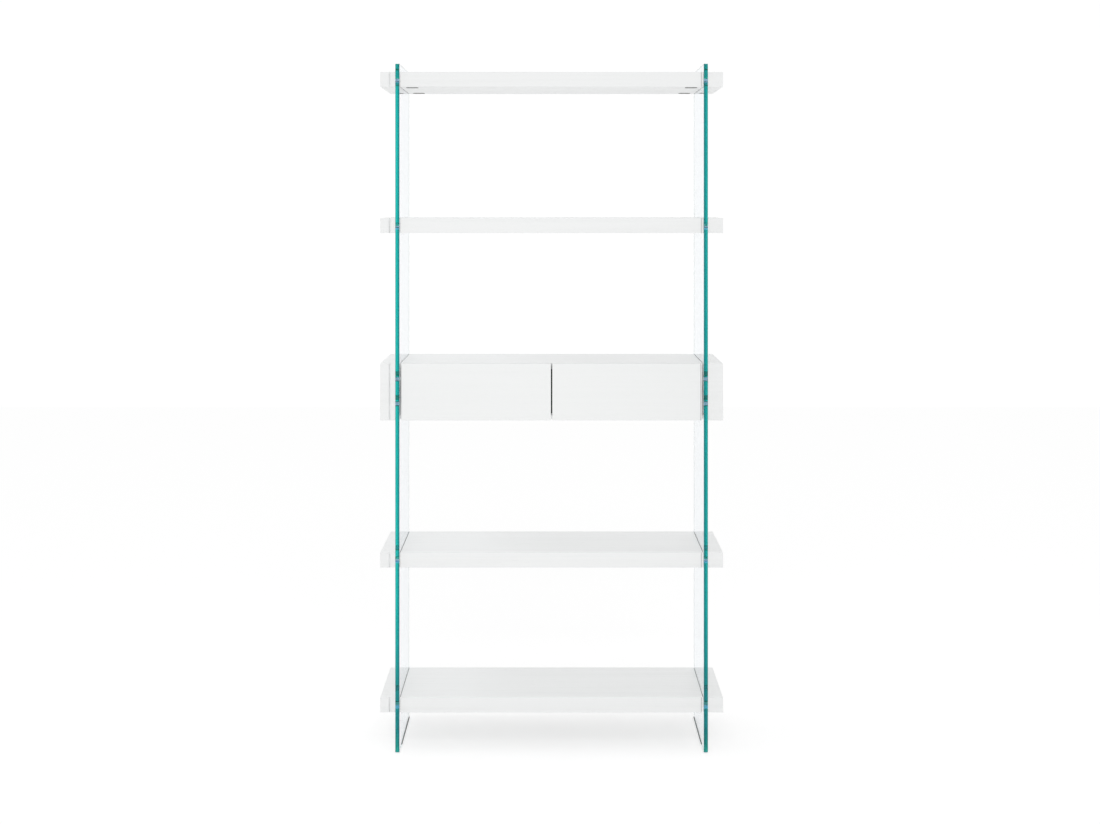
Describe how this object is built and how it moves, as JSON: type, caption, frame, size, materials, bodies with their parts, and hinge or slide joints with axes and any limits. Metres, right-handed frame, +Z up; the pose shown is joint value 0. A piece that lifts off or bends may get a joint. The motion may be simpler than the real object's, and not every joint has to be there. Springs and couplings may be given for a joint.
{
  "type": "bookcase with drawers",
  "caption": "Tall open bookcase of white shelves clamped between two clear glass sides, with a pair of handleless drawers side by side at mid height.",
  "frame": {"origin": "on the floor, under the middle of the bookcase's bounding box", "axes": "+X to the right as seen from the front, +Y from front to back, +Z up; the drawers open towards -Y"},
  "size_m": [1, 0.375, 2],
  "materials": {
    "clear_glass": "clear float glass with polished green edges",
    "white_veneer": "satin white lacquer over open-pored veneer",
    "white_front": "satin white lacquer",
    "pale_board": "matt melamine",
    "zinc_steel": "bright zinc plate"
  },
  "bodies": {
    "frame": {"glass_panel_left": "clear_glass", "glass_panel_right": "clear_glass", "bottom_shelf_board": "white_veneer", "bottom_shelf_end_left": "white_veneer", "bottom_shelf_end_right": "white_veneer", "bottom_shelf_bolt_left_front": "zinc_steel", "bottom_shelf_bolt_left_back": "zinc_steel", "bottom_shelf_bolt_right_front": "zinc_steel", "bottom_shelf_bolt_right_back": "zinc_steel", "lower_shelf_board": "white_veneer", "lower_shelf_end_left": "white_veneer", "lower_shelf_end_right": "white_veneer", "lower_shelf_bolt_left_front": "zinc_steel", "lower_shelf_bolt_left_back": "zinc_steel", "lower_shelf_bolt_right_front": "zinc_steel", "lower_shelf_bolt_right_back": "zinc_steel", "upper_shelf_board": "white_veneer", "upper_shelf_end_left": "white_veneer", "upper_shelf_end_right": "white_veneer", "upper_shelf_bolt_left_front": "zinc_steel", "upper_shelf_bolt_left_back": "zinc_steel", "upper_shelf_bolt_right_front": "zinc_steel", "upper_shelf_bolt_right_back": "zinc_steel", "top_shelf_board": "white_veneer", "top_shelf_end_left": "white_veneer", "top_shelf_end_right": "white_veneer", "top_shelf_bolt_left_front": "zinc_steel", "top_shelf_bolt_left_back": "zinc_steel", "top_shelf_bolt_right_front": "zinc_steel", "top_shelf_bolt_right_back": "zinc_steel", "cabinet_top": "white_veneer", "cabinet_bottom": "white_veneer", "cabinet_back": "white_veneer", "cabinet_divider": "white_veneer", "cabinet_side_left": "white_veneer", "cabinet_side_right": "white_veneer", "cabinet_end_left": "white_veneer", "cabinet_end_right": "white_veneer", "left_drawer_outer_rail_left": "zinc_steel", "left_drawer_outer_rail_right": "zinc_steel", "right_drawer_outer_rail_left": "zinc_steel", "right_drawer_outer_rail_right": "zinc_steel"},
    "left_drawer": {"left_drawer_front": "white_front", "left_drawer_side_left": "white_veneer", "left_drawer_side_right": "white_veneer", "left_drawer_back": "white_veneer", "left_drawer_bottom": "pale_board", "left_drawer_inner_rail_left": "zinc_steel", "left_drawer_inner_rail_right": "zinc_steel"},
    "left_drawer_slides": {"left_drawer_middle_rail_left": "zinc_steel", "left_drawer_middle_rail_right": "zinc_steel"},
    "right_drawer": {"right_drawer_front": "white_front", "right_drawer_side_left": "white_veneer", "right_drawer_side_right": "white_veneer", "right_drawer_back": "white_veneer", "right_drawer_bottom": "pale_board", "right_drawer_inner_rail_left": "zinc_steel", "right_drawer_inner_rail_right": "zinc_steel"},
    "right_drawer_slides": {"right_drawer_middle_rail_left": "zinc_steel", "right_drawer_middle_rail_right": "zinc_steel"}
  },
  "joints": [
    {"name": "left_drawer_pull", "type": "slide", "parent": "frame", "child": "left_drawer", "axis": [0, -1, 0], "range_m": [0, 0.29]},
    {"name": "left_slides_follow", "type": "slide", "parent": "frame", "child": "left_drawer_slides", "axis": [0, -1, 0], "range_m": [0, 0.145]},
    {"name": "right_drawer_pull", "type": "slide", "parent": "frame", "child": "right_drawer", "axis": [0, -1, 0], "range_m": [0, 0.29]},
    {"name": "right_slides_follow", "type": "slide", "parent": "frame", "child": "right_drawer_slides", "axis": [0, -1, 0], "range_m": [0, 0.145]}
  ],
  "couplings": [
    {"joint": "left_slides_follow", "follows": "left_drawer_pull", "ratio": 0.5},
    {"joint": "right_slides_follow", "follows": "right_drawer_pull", "ratio": 0.5}
  ]
}
